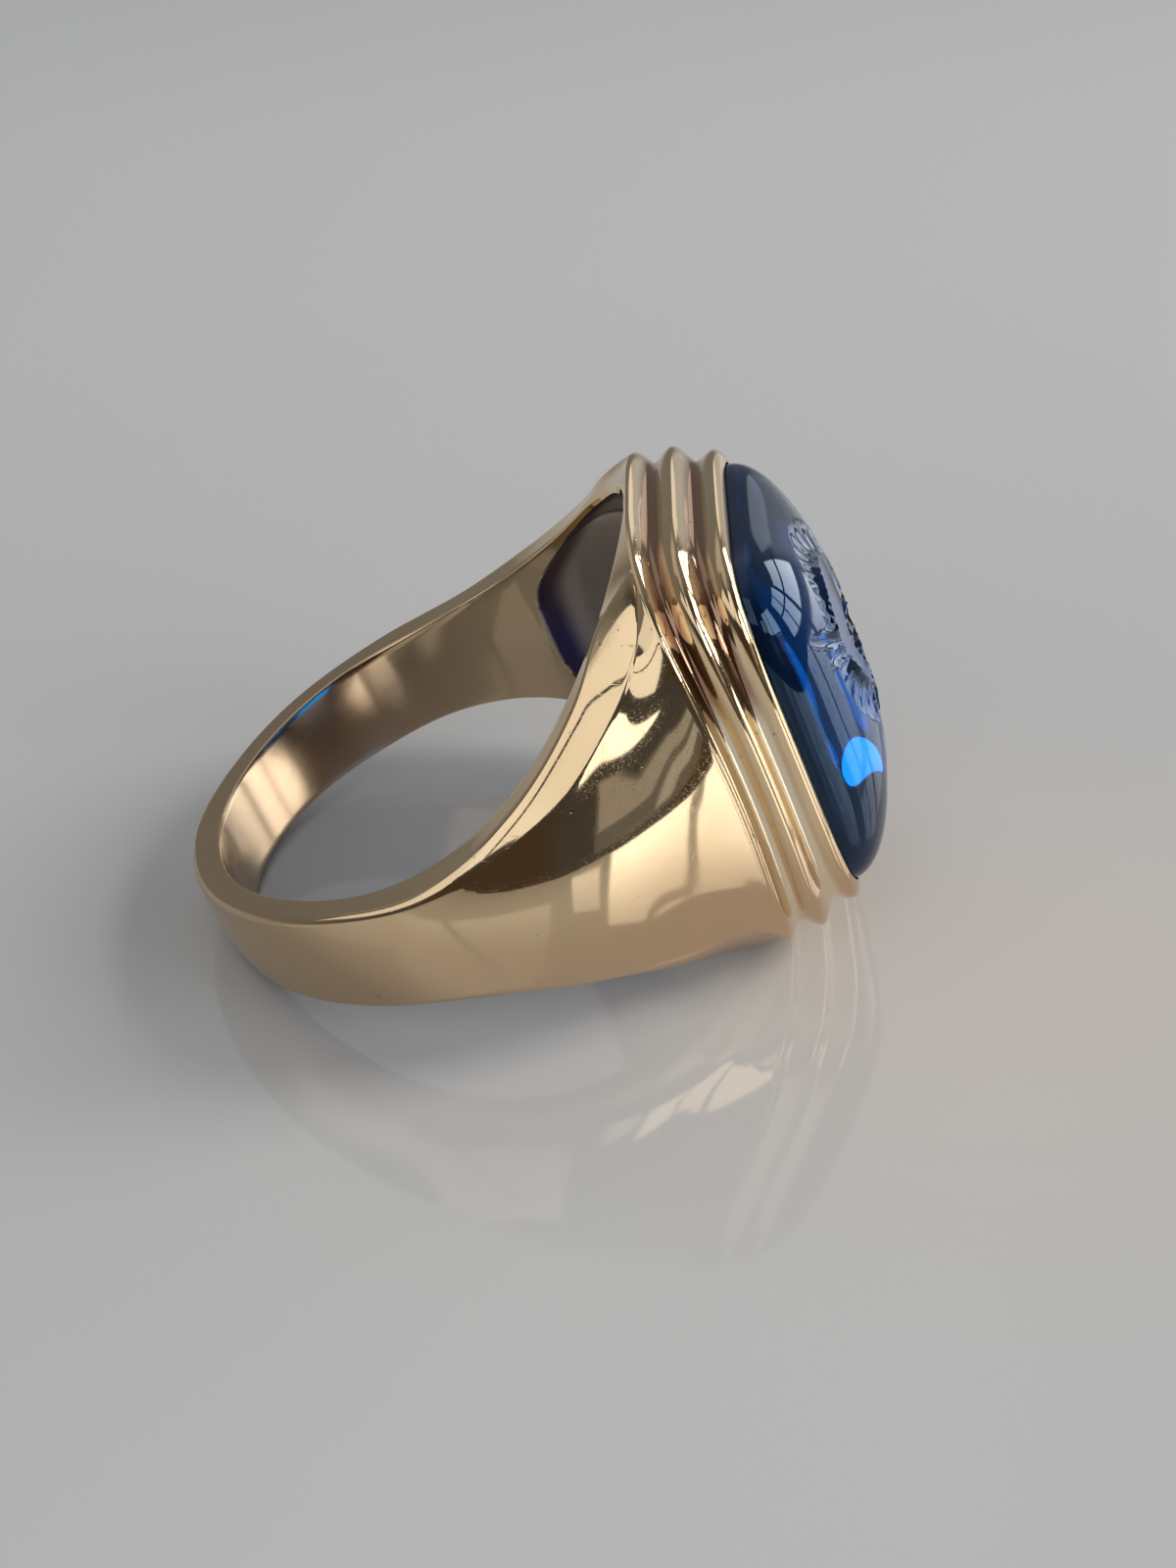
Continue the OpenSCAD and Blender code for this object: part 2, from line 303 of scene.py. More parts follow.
def table(rows, value, column):
    """Value of a column at a place along the first column, run smoothly through the rows."""
    rows = sorted(rows)
    x = np.array([r[0] for r in rows], float)
    y = np.array([r[column] for r in rows], float)
    h = np.diff(x)
    d = np.diff(y) / h
    m = np.concatenate([[d[0]], (d[:-1] * h[1:] + d[1:] * h[:-1]) / (h[:-1] + h[1:]), [d[-1]]])
    v = np.asarray(value, float)
    i = np.clip(np.searchsorted(x, v) - 1, 0, len(h) - 1)
    u = (v - x[i]) / h[i]
    return (
        (2 * u**3 - 3 * u**2 + 1) * y[i]
        + (u**3 - 2 * u**2 + u) * m[i] * h[i]
        + (3 * u**2 - 2 * u**3) * y[i + 1]
        + (u**3 - u**2) * m[i + 1] * h[i]
    )


def cushion(turn, b, a, n):
    """Distance from the middle to a cushion outline at a turn in degrees."""
    t = np.radians(turn)
    return ((np.abs(np.cos(t)) / b) ** n + (np.abs(np.sin(t)) / a) ** n) ** (-1 / n)


def bezel_point(turn, level):
    """A point of the bezel's outline at a level, or several for several turns."""
    x, b, a, bow, n = level
    r = cushion(turn, b, a, n)
    z = r * np.sin(np.radians(turn))
    return np.stack([x + bow * (1 - z * z / (a * a)), r * np.cos(np.radians(turn)), z], -1)


def ring_turn(k):
    """Turn in degrees of point k of a quarter ring."""
    k = np.asarray(k, float)
    side = np.clip(k / SIDE_STEPS, 0, 1) * EDGE_TURN
    edge = np.clip((k - SIDE_STEPS) / EDGE_STEPS, 0, 1) * (RIM_TURN - EDGE_TURN)
    rim = np.clip((k - SIDE_STEPS - EDGE_STEPS) / RIM_STEPS, 0, 1) * (90 - RIM_TURN)
    return side + edge + rim


def band_tables():
    """Rim, chamfer and side of the band by angle, each run on to the first rib."""
    ends = [bezel_point(turn, LEVELS[0]) for turn in (0.0, EDGE_TURN, RIM_TURN)]
    angle = [math.degrees(math.atan2(p[1], p[0])) for p in ends]
    radius = [math.hypot(p[0], p[1]) for p in ends]
    side = [(r[0], r[3], 0.0) for r in BAND[:-1]] + [(*SHOULDER, 0.0), (angle[0], radius[0], 0.0)]
    edge = [(r[0], r[2], r[5]) for r in BAND] + [(angle[1], radius[1], ends[1][2])]
    rim = [(r[0], r[1], r[4]) for r in BAND] + [(angle[2], radius[2], ends[2][2])]
    return side, edge, rim


SIDE_TABLE, EDGE_TABLE, RIM_TABLE = band_tables()


def along(rows, s):
    """A point of one of the band's lines, from s = 0 at the back to s = 1 at the first rib."""
    v = 180 + (rows[-1][0] - 180) * s
    r = table(rows, v, 1)
    return np.stack([r * np.cos(np.radians(v)), r * np.sin(np.radians(v)), table(rows, v, 2)], -1)


def raw_side(s, kappa):
    """The band's side: kappa is 0 halfway down and 1 at the chamfer."""
    side, edge = along(SIDE_TABLE, s), along(EDGE_TABLE, s)
    z = edge[2] * np.sin(np.radians(EDGE_TURN * kappa)) / math.sin(math.radians(EDGE_TURN))
    w = (z / edge[2]) ** 2
    return np.stack([side[0] + (edge[0] - side[0]) * w, side[1] + (edge[1] - side[1]) * w, z], -1)


def bend(s):
    """How far the band's lines have bent onto the first rib at s."""
    start, span, power = BEND
    return max(0.0, (s - start) / span) ** power


def side_points(s, kappa):
    pull = bend(s)
    raw = raw_side(s, kappa)
    if pull:
        raw = raw + (bezel_point(EDGE_TURN * kappa, LEVELS[0]) - raw_side(1.0, kappa)) * pull
    return raw


def chamfer_points(s, share):
    """share is 0 at the chamfer's outer line and 1 at the rim."""
    share = np.asarray(share, float)[:, None]
    pull = bend(s)

    def raw(s):
        edge, rim = along(EDGE_TABLE, s), along(RIM_TABLE, s)
        crown = 4 * share * (1 - share) * CHAMFER_CROWN * np.linalg.norm(rim - edge)
        out = np.array([math.cos(math.radians(45)), math.sin(math.radians(45)), 1.0]) / 1.414
        return edge + (rim - edge) * share + crown * out

    points = raw(s)
    if pull:
        ring = bezel_point(EDGE_TURN + (RIM_TURN - EDGE_TURN) * share[:, 0], LEVELS[0])
        points = points + (ring - raw(1.0)) * pull
    return points


def rounded(before, corner, after, reach):
    """Points that turn a corner in a small arc."""
    a, b = before - corner, after - corner
    la, lb = np.linalg.norm(a), np.linalg.norm(b)
    d = min(reach, 0.45 * la, 0.45 * lb)
    start = corner + a / max(la, 1e-9) * d
    end = corner + b / max(lb, 1e-9) * d
    t = np.linspace(0, 1, ARC_STEPS + 1)[:, None]
    return (1 - t) ** 2 * start + 2 * t * (1 - t) * corner + t**2 * end


def on_hole(angle, z):
    t = np.radians(angle)
    return np.stack([BORE_R * np.cos(t), BORE_R * np.sin(t), z], -1)


def window_edge():
    """Evenly spaced points of the hollow's edge in the finger hole, from over the stone to mid height."""
    # finer where the edge turns steeply
    turn = 70
    angle = np.concatenate([np.linspace(0, turn, 400), np.linspace(turn, WINDOW_TURN, 200)[1:]])
    z = np.maximum(table(WINDOW, angle, 1), 0)
    z[-1] = 0.0
    line = on_hole(angle, z)
    run = np.concatenate([[0], np.cumsum(np.linalg.norm(np.diff(line, axis=0), axis=1))])
    even = np.linspace(0, run[-1], QUARTER + 1)
    return np.interp(even, run, angle), np.interp(even, run, z)


class Shell:
    """A growing list of points and faces."""

    def __init__(self):
        self.points = []
        self.faces = []
        self.recess = []

    def grid(self, rows, recess=None):
        """Rows of points, joined by four-sided faces, drawn in all four mirrored quarters."""
        rows = np.array(rows)
        if recess is None:
            recess = np.zeros(rows.shape[:2])
        n, m = rows.shape[:2]
        for sy in (1, -1):
            for sz in (1, -1):
                base = len(self.points)
                self.points += [tuple(p) for p in (rows * [1, sy, sz]).reshape(-1, 3)]
                self.recess += list(np.asarray(recess).reshape(-1))
                for i in range(n - 1):
                    for j in range(m - 1):
                        a, b = base + i * m + j, base + (i + 1) * m + j
                        quad = (a, a + 1, b + 1, b)
                        self.faces.append(quad if sy * sz > 0 else quad[::-1])


def outer_line(s, soft, start):
    """Chamfer and side of the band at s, from the end of the rim's arc to mid height."""
    edge = side_points(s, np.array([1.0]))[0]
    below = side_points(s, np.array([0.8]))[0]
    arc = rounded(chamfer_points(s, [0.5])[0], edge, below, EDGE_ARC * soft)
    chamfer = chamfer_points(s, np.linspace(1, 0, EDGE_STEPS + 1))
    # the side's steps start below the arc, so that they don't fold back on it
    drop = np.linalg.norm(arc[-1] - edge)
    depth = max(along(EDGE_TABLE, s)[2], 0.5)
    kappa = (1 - min(0.5, 1.5 * drop / depth)) * np.linspace(1, 0, SIDE_STEPS + 1)
    side = side_points(s, kappa)
    if soft > 0:
        chamfer[0] = start
        chamfer[-1] = arc[0]
        side[0] = arc[-1]
    return np.concatenate([chamfer, arc[1:], side[1:]])


def hollow_line(turn, start):
    """The hollow at a turn, from its edge in the finger hole to the opening under the stone."""
    end = bezel_point(turn, OPENING)
    first, last = math.atan2(start[2], start[1]), math.radians(turn)
    r0, r1 = math.hypot(start[1], start[2]), math.hypot(end[1], end[2])
    gap, run = r0 - r1, end[0] - start[0]
    (x0, more0), (x1, more1) = HOLLOW_HANDLES
    r0, r1 = r0 + more0 * gap, r1 + more1 * gap
    a = np.array([start[0] + x0 * run, r0 * math.cos(first), r0 * math.sin(first)])
    b = np.array([start[0] + x1 * run, r1 * math.cos(last), r1 * math.sin(last)])
    t = np.linspace(0, 1, HOLLOW_STEPS + 1)[:, None] ** HOLLOW_CROWD
    return (1 - t) ** 3 * start + 3 * t * (1 - t) ** 2 * a + 3 * t**2 * (1 - t) * b + t**3 * end


def band_shell():
    """Finger hole, rims, chamfers and sides of the band, and the hollow behind the stone."""
    shell = Shell()
    back = np.linspace(0, 1, BACK_STEPS + 1)[1:]
    beside = 1 - np.linspace(0, WINDOW_SHARE, WINDOW_STEPS + 1)
    stations = [*beside, *((1 - WINDOW_SHARE) * (1 - back))]
    edge_angle, edge_z = window_edge()
    low_angle = [*edge_angle, *(WINDOW_TURN + (180 - WINDOW_TURN) * back)]
    low_z = [*edge_z] + [0.0] * BACK_STEPS
    to_rib = bezel_point(RIM_TURN, LEVELS[0]) - along(RIM_TABLE, 1.0)
    inner, outer = [], []
    for j in range(QUARTER + BACK_STEPS + 1):
        if j <= RIM_STEPS:
            s = 1.0
            top_angle = HOLE_TURN * j / RIM_STEPS
            rim = bezel_point(ring_turn(QUARTER - j), LEVELS[0])
        else:
            s = stations[j - RIM_STEPS]
            top_angle = HOLE_TURN + (1 - s) * (180 - HOLE_TURN)
            rim = along(RIM_TABLE, s)
            rim = rim + to_rib * bend(s)
        soft = min(1.0, (1 - s) / ARC_FADE)
        corner = on_hole(top_angle, table(HOLE_EDGE, top_angle, 1))
        at_hole = rounded(on_hole(top_angle, corner[2] - 1.0), corner, rim, HOLE_ARC)
        if j <= RIM_STEPS:
            at_rim = np.repeat(rim[None], ARC_STEPS + 1, 0)
        else:
            at_rim = rounded(corner, rim, chamfer_points(s, [0.5])[0], RIM_ARC * soft)
        t = np.linspace(0, 1, WALL_STEPS + 1)
        start_angle = math.degrees(math.atan2(at_hole[0][1], at_hole[0][0]))
        turn = low_angle[j] + (start_angle - low_angle[j]) * t
        wall = on_hole(turn, low_z[j] + (at_hole[0][2] - low_z[j]) * t)
        t = np.linspace(0, 1, FACE_STEPS + 1)[:, None]
        face = at_hole[-1] + (at_rim[0] - at_hole[-1]) * t
        inner.append(np.concatenate([wall, at_hole[1:], face[1:], at_rim[1:]]))
        if j >= RIM_STEPS:
            outer.append(outer_line(s, soft, at_rim[-1]))
    # both ends of the band meet in the middle of the back
    for line in (inner[-1], outer[-1]):
        line[:, 1] = 0.0
    shell.grid(inner)
    shell.grid(outer)

    hollow = []
    for j in range(QUARTER + 1):
        hollow.append(hollow_line(float(ring_turn(QUARTER - j)), on_hole(low_angle[j], low_z[j])))
    recess = np.interp(np.linspace(0, 1, HOLLOW_STEPS + 1), *zip(*HOLLOW_RECESS))
    shell.grid(hollow, np.repeat(recess[None], QUARTER + 1, 0))
    return shell


def bezel_profile():
    """The bezel's profile from the first rib to the opening under the stone, a row for each level.
    Columns: height at the ends, half width, half length, bow, squareness, recess"""

    def row(low, high, share, recess):
        return [lo + (hi - lo) * e for lo, hi, e in zip(low, high, share)] + [recess]

    rows = []
    for i, (low, high) in enumerate(zip(LEVELS, LEVELS[1:])):
        for k in range(RIB_ROWS):
            t = k / RIB_ROWS
            e = (1 - math.cos(math.pi * t)) / 2
            rows.append(row(low, high, [t, e, e, t, t], COVE * (e if i % 2 == 0 else 1 - e)))
    for k in range(LIP_ROWS + 1):
        t = math.radians(90 * k / LIP_ROWS)
        out, over = math.sin(t), 1 - math.cos(t)
        rows.append(row(LEVELS[-1], LIP, [out, over, over, out, over], 0.0))
    for low, high, steps in ((LIP, SEAT, SEAT_ROWS), (SEAT, OPENING, LEDGE_ROWS)):
        for k in range(1, steps + 1):
            rows.append(row(low, high, [k / steps] * 5, 1.0))
    return rows


def socket(tree, name, kind, value=None, out=False):
    made = tree.interface.new_socket(name=name, in_out="OUTPUT" if out else "INPUT", socket_type=kind)
    if value is not None:
        made.default_value = value


def made_by_nodes(thing, tree, material):
    """Runs a Geometry Nodes tree on an object and leaves its result as a plain mesh."""
    modifier = thing.modifiers.new("Shape", "NODES")
    modifier.node_group = tree
    for item in tree.interface.items_tree:
        if item.in_out == "INPUT" and item.socket_type != "NodeSocketGeometry":
            given = material if item.socket_type == "NodeSocketMaterial" else item.default_value
            modifier[item.identifier] = given
    plain = bpy.data.meshes.new_from_object(thing.evaluated_get(bpy.context.evaluated_depsgraph_get()))
    thing.modifiers.remove(modifier)
    thing.data = plain
    return thing


def sweep_tree(levels):
    """Sweeps the profile's rows round the cushion outline of the bezel."""
    tree = bpy.data.node_groups.new("Ribbed bezel", "GeometryNodeTree")
    socket(tree, "Profile", "NodeSocketGeometry")
    socket(tree, "Side steps", "NodeSocketInt", SIDE_STEPS)
    socket(tree, "Chamfer steps", "NodeSocketInt", EDGE_STEPS)
    socket(tree, "Rim steps", "NodeSocketInt", RIM_STEPS)
    socket(tree, "Rows", "NodeSocketInt", levels)
    socket(tree, "Chamfer turn", "NodeSocketFloat", EDGE_TURN)
    socket(tree, "Rim turn", "NodeSocketFloat", RIM_TURN)
    socket(tree, "Gold", "NodeSocketMaterial")
    socket(tree, "Bezel", "NodeSocketGeometry", out=True)
    web = Web(tree)
    given = tree.nodes.new("NodeGroupInput")
    profile, side, edge, rim, rows, edge_turn, rim_turn, gold = [Wire(web, s) for s in given.outputs[:8]]
    quarter = side + edge + rim
    grid = web.node("GeometryNodeMeshGrid", None, {"Vertices X": quarter * 4 + 1, "Vertices Y": rows})
    index = web.node("GeometryNodeInputIndex")
    column = web.math("FLOOR", (index + 0.5) / rows)
    row = web.math("FLOOR", index - column * rows + 0.5)
    k = web.math("PINGPONG", column, quarter)
    turn = web.clamp(k / side) * edge_turn + web.clamp((k - side) / edge) * (rim_turn - edge_turn)
    turn = (turn + web.clamp((k - side - edge) / rim) * (90.0 - rim_turn)) * (math.pi / 180)
    across = 1.0 - ((column > quarter) * (column < quarter * 3)) * 2.0
    up = 1.0 - (column > quarter * 2) * 2.0

    def level(kind, field):
        values = {"Geometry": profile, "Value": field, "Index": row}
        return web.node("GeometryNodeSampleIndex", {"data_type": kind, "domain": "POINT"}, values)

    def noted(name):
        field = web.node("GeometryNodeInputNamedAttribute", {"data_type": "FLOAT"}, {"Name": name})
        return level("FLOAT", field)

    x, b, a = web.split(level("FLOAT_VECTOR", web.node("GeometryNodeInputPosition")))
    bow = noted("bow")
    n = noted("squareness")
    cos = web.math("ABSOLUTE", web.cosine(turn))
    sin = web.math("ABSOLUTE", web.sine(turn))
    r = ((cos / b) ** n + (sin / a) ** n) ** (-1.0 / n)
    z = r * sin
    place = web.join(x + bow * (1.0 - (z / a) * (z / a)), r * cos * across, z * up)
    moved = web.node("GeometryNodeSetPosition", None, {"Geometry": grid, "Position": place})
    marked = web.node(
        "GeometryNodeStoreNamedAttribute",
        {"data_type": "FLOAT", "domain": "POINT"},
        {"Geometry": moved, "Name": "recess", "Value": noted("recess")},
    )
    closed = web.node("GeometryNodeMergeByDistance", None, {"Geometry": marked, "Distance": SEAM})
    real = web.node("GeometryNodeRealizeInstances", None, {0: closed})
    shown = web.node("GeometryNodeSetMaterial", None, {"Geometry": real, "Material": gold})
    web.end("NodeGroupOutput", shown)
    return tree


def stone_tree():
    """The domed cushion face of the stone with the motif cut into it."""
    tree = bpy.data.node_groups.new("Carved stone", "GeometryNodeTree")
    socket(tree, "Blank", "NodeSocketGeometry")
    socket(tree, "Half width", "NodeSocketFloat", STONE_B)
    socket(tree, "Half length", "NodeSocketFloat", STONE_A)
    socket(tree, "Squareness", "NodeSocketFloat", STONE_N)
    socket(tree, "Girdle height", "NodeSocketFloat", GIRDLE_X)
    socket(tree, "Dome height", "NodeSocketFloat", DOME_H)
    socket(tree, "Deepest cut", "NodeSocketFloat", CUT_DEPTH)
    socket(tree, "Steps", "NodeSocketInt", STONE_POINTS)
    socket(tree, "Blue stone", "NodeSocketMaterial")
    socket(tree, "Stone", "NodeSocketGeometry", out=True)
    web = Web(tree)
    given = tree.nodes.new("NodeGroupInput")
    _, b, a, n, girdle, dome, cut, steps, blue = [Wire(web, s) for s in given.outputs[:9]]
    square = {"Size X": 2.0, "Size Y": 2.0, "Vertices X": steps, "Vertices Y": steps}
    grid = web.node("GeometryNodeMeshGrid", None, square)
    u, v, _ = web.split(web.node("GeometryNodeInputPosition"))
    t = web.math("MAXIMUM", web.math("ABSOLUTE", u), web.math("ABSOLUTE", v))
    turn = web.math("ARCTAN2", v * a, u * b)
    cos = web.cosine(turn)
    sin = web.sine(turn)
    out = web.sine(t * (math.pi / 2))
    # an ellipse at the top of the dome, squarer towards the girdle
    power = 2.0 + (n - 2.0) * out ** 1.5
    reach = (web.math("ABSOLUTE", cos) / b) ** power + (web.math("ABSOLUTE", sin) / a) ** power
    r = out * reach ** (-1.0 / power)
    y = r * cos
    z = r * sin

    cuts = []
    for my, mz, half_y, half_z, lean, depth in MOTIF:
        c, s = math.cos(math.radians(lean)), math.sin(math.radians(lean))
        p = ((y - my) * c + (z - mz) * s) * (1 / half_y)
        q = ((z - mz) * c - (y - my) * s) * (1 / half_z)
        cuts.append(((web.math("MAXIMUM", 1.0 - p * p - q * q, 0.0) ** BOWL) * depth) ** MERGE)
    dy = y - CREST_MIDDLE[0]
    dz = z - CREST_MIDDLE[1]
    angle = web.math("MODULO", web.math("ARCTAN2", dz, dy) + 2 * math.pi, 2 * math.pi)
    angle = angle * (180 / math.pi)
    arc = (angle - CREST_ARC[0]) * (1 / (CREST_ARC[1] - CREST_ARC[0]))
    far = web.math("SQRT", dy * dy + dz * dz)
    band = (far - CREST_RADII[0]) * (1 / (CREST_RADII[1] - CREST_RADII[0]))
    lobes = web.cosine(arc * (2 * math.pi * CREST_LOBES)) * CREST_SCALLOP + CREST_DEPTH
    hump = web.math("MAXIMUM", band * (1.0 - band) * 4.0, 0.0) ** 0.5
    ends = web.math("MINIMUM", web.math("MAXIMUM", arc * (1.0 - arc) * 6.0, 0.0), 1.0) ** 0.5
    cuts.append((lobes * hump * ends) ** MERGE)
    deep = sum(cuts[1:], cuts[0]) ** (1 / MERGE)

    x = girdle + dome * web.math("SQRT", web.math("MAXIMUM", 1.0 - out * out, 0.0)) - cut * deep
    moved = web.node("GeometryNodeSetPosition", None, {"Geometry": grid, "Position": web.join(x, y, z)})
    real = web.node("GeometryNodeRealizeInstances", None, {0: moved})
    shown = web.node("GeometryNodeSetMaterial", None, {"Geometry": real, "Material": blue})
    web.end("NodeGroupOutput", shown)
    return tree


def thing_of(name, mesh):
    thing = bpy.data.objects.new(name, mesh)
    bpy.context.scene.collection.objects.link(thing)
    return thing


def finish_mesh(mesh, sharp_degrees):
    """Closes seams, points the faces outwards and shades smoothly up to an angle."""
    work = bmesh.new()
    work.from_mesh(mesh)
    bmesh.ops.remove_doubles(work, verts=work.verts, dist=SAME)
    bmesh.ops.dissolve_degenerate(work, edges=work.edges, dist=SHORT)
    bmesh.ops.recalc_face_normals(work, faces=work.faces)
    work.to_mesh(mesh)
    work.free()
    mesh.transform(PLACE)
    mesh.shade_smooth()
    mesh.set_sharp_from_angle(angle=math.radians(sharp_degrees))
    mesh.update()


def gold_ring(material):
    """The whole gold ring: the bezel swept by nodes, joined to the band."""
    rows = bezel_profile()
    profile = bpy.data.meshes.new("bezel_profile")
    profile.from_pydata([row[:3] for row in rows], [(i, i + 1) for i in range(len(rows) - 1)], [])
    for name, column in (("bow", 3), ("squareness", 4), ("recess", 5)):
        values = [row[column] for row in rows]
        profile.attributes.new(name, "FLOAT", "POINT").data.foreach_set("value", values)
    bezel = made_by_nodes(thing_of("bezel", profile), sweep_tree(len(rows)), material)
    shell = band_shell()
    band = bpy.data.meshes.new("gold_ring")
    band.from_pydata(shell.points, [], shell.faces)
    band.attributes.new("recess", "FLOAT", "POINT").data.foreach_set("value", shell.recess)
    band.materials.append(material)
    ring = thing_of("gold_ring", band)
    with bpy.context.temp_override(active_object=ring, object=ring, selected_editable_objects=[ring, bezel]):
        bpy.ops.object.join()
    finish_mesh(band, sharp_degrees=32)
    return ring


def blue_stone(material):
    """The stone: its carved face from nodes, with the wall and the flat back added."""
    blank = bpy.data.meshes.new("stone_blank")
    stone = made_by_nodes(thing_of("carved_stone", blank), stone_tree(), material)
    mesh = stone.data
    work = bmesh.new()
    work.from_mesh(mesh)
    rim = [e for e in work.edges if e.is_boundary]
    for inward, height in STONE_EDGE:
        made = bmesh.ops.extrude_edge_only(work, edges=rim)["geom"]
        rim = [g for g in made if isinstance(g, bmesh.types.BMEdge)]
        for v in {v for e in rim for v in e.verts}:
            turn = math.degrees(math.atan2(v.co.z, v.co.y))
            r = float(cushion(turn, STONE_B, STONE_A, STONE_N)) - inward
            v.co = Vector((height, r * math.cos(math.radians(turn)), r * math.sin(math.radians(turn))))
    bmesh.ops.contextual_create(work, geom=rim)
    work.to_mesh(mesh)
    work.free()
    finish_mesh(mesh, sharp_degrees=30)
    return stone


# Finishes: colours first, then the rules that spread them


RED_GOLD = (0.80, 0.585, 0.345, 1)
YELLOW_GOLD = (0.86, 0.65, 0.40, 1)
# Painted shade: the gold's colour towards the table
LOW_GOLD = (0.69, 0.50, 0.315, 1)
# Painted light: paler gold in the coves, so that light mirrored back and forth in them reads tan and not
# orange
COVE_GOLD_PAINTED_LIGHT = (0.86, 0.73, 0.54, 1)
# Painted reflection: dark brown high in the coves, for a dark room mirrored there
COVE_PAINTED_REFLECTION = (0.42, 0.25, 0.16, 1)
# Painted shade and grime lining the hollow, brown above; navy below is painted blue light from the stone
HOLLOW_SHADE_AND_GRIME = (0.10, 0.06, 0.055, 1)
HOLLOW_PAINTED_BLUE_LIGHT = (0.06, 0.055, 0.15, 1)
PIT = (0.25, 0.17, 0.10, 1)
# Turn, scale and strength of the two sets of polishing lines
HAIRLINES = [
    ((0.0, 0.33, 0.5), (26000, 900, 26000), 1.0),
    ((0.6, 0.0, 1.9), (900, 30000, 24000), 0.7),
]


def plain_material(name):
    material = bpy.data.materials.new(name)
    material.use_nodes = True
    material.node_tree.nodes.clear()
    return material, Web(material.node_tree)


def gold_finish():
    """Polished pale gold, slightly uneven, with fine hairlines and small pits. Painted shade makes it
    darker near the table, and it is duller at the low back of the band. The coves are painted paler,
    so that light mirrored back and forth in them reads tan, and near the top they are painted dark
    brown as a reflection of a dark room. The hollow is painted dark as shade and grime, and navy at
    its lower end as blue light from the stone. Places are in metres."""
    material, web = plain_material("pale_gold")
    where = web.node("ShaderNodeTexCoord", out="Object")

    def noise(scale, detail, roughness=0.5, place=where):
        values = {"Vector": place, "Scale": scale, "Detail": detail, "Roughness": roughness}
        return web.node("ShaderNodeTexNoise", None, values)

    def hairlines(turn, scale):
        """Fine polishing lines: noise drawn out along one direction."""
        turned = web.node("ShaderNodeMapping", None, {"Vector": where, "Rotation": turn, "Scale": scale})
        return web.ramp(noise(1.0, 3.0, 0.7, turned), 0.62, 0.72)

    cloud = noise(220.0, 3.0)
    patch = noise(900.0, 4.0, 0.6)
    pits = web.ramp(noise(3400.0, 1.0), 0.755, 0.79)
    first, second = [hairlines(turn, scale) * strength for turn, scale, strength in HAIRLINES]
    lines = web.clamp(first + second)
    across, _, height = web.split(where)
    recess = web.node("ShaderNodeAttribute", {"attribute_name": "recess"}, out="Fac")

    colour = web.mix(web.ramp(cloud, 0.35, 0.7), RED_GOLD, YELLOW_GOLD)
    # painted shade: the gold darker towards the table
    colour = web.mix(web.ramp(height, 0.0025, -0.0005), colour, LOW_GOLD)
    # painted light: the coves paler
    colour = web.mix(web.ramp(recess, 0.0, 0.3), colour, COVE_GOLD_PAINTED_LIGHT)
    # painted reflection: dark brown high in the coves, for a dark room mirrored there
    in_cove = web.ramp(recess, 0.12, 0.28) * (1.0 - web.ramp(recess, 0.32, 0.4))
    colour = web.mix(in_cove * web.ramp(height, 0.0058, 0.0074), colour, COVE_PAINTED_REFLECTION)
    # painted shade and grime in the hollow, brown above; navy below as painted blue light from the stone
    dark = web.mix(web.ramp(height, 0.0045, 0.0005), HOLLOW_SHADE_AND_GRIME, HOLLOW_PAINTED_BLUE_LIGHT)
    colour = web.mix(web.ramp(recess, 0.35, 1.0), colour, dark)
    colour = web.mix(pits * 0.45, colour, PIT)

    worn = (1.0 - web.ramp(across, 0.003, 0.008)) * (1.0 - web.ramp(height, -0.002, 0.002))
    rough = 0.035 + web.ramp(patch, 0.45, 0.75) * 0.035 + lines * 0.04 + worn * 0.13 + recess**4 * 0.20

    waves = noise(260.0, 1.0) + patch * 0.04 - pits * 0.3
    values = {"Strength": 0.10, "Distance": 0.00012, "Height": waves}
    uneven = web.node("ShaderNodeBump", None, values)
    values = {"Strength": 0.05, "Distance": 0.00002, "Height": lines, "Normal": uneven}
    scratched = web.node("ShaderNodeBump", None, values)
    values = {"Base Color": colour, "Metallic": 1.0, "Roughness": rough, "Normal": scratched}
    web.end("ShaderNodeOutputMaterial", web.node("ShaderNodeBsdfPrincipled", None, values))
    return material


def stone_finish():
    """Polished deep blue stone that takes up the light on its way through."""
    material, web = plain_material("deep_blue_stone")
    values = {
        "Base Color": (0.05, 0.26, 0.95, 1),
        "Roughness": 0.015,
        "IOR": 1.6,
        "Specular Tint": (0.45, 0.7, 1.0, 1),
        "Transmission Weight": 0.97,
    }
    surface = web.node("ShaderNodeBsdfPrincipled", None, values)
    volume = web.node("ShaderNodeVolumeAbsorption", None, {"Color": (0.30, 0.87, 0.88, 1), "Density": 1150.0})
    web.end("ShaderNodeOutputMaterial", surface, volume)
    return material


TABLE_GREYS = ((0.57, 0.57, 0.57, 1), (0.59, 0.588, 0.582, 1))
# Painted light: warm glow of light mirrored off the gold onto the table
TABLE_PAINTED_GLOW = (0.635, 0.585, 0.54, 1)
# Painted light: the table lighter farther away
TABLE_FAR_PAINTED_LIGHT = (0.68, 0.68, 0.675, 1)
# Middle of the warm patch on the table beside the bezel: painted light, a glow of light mirrored off the gold
PAINTED_GLOW_SPOT = (0.021, -0.006)


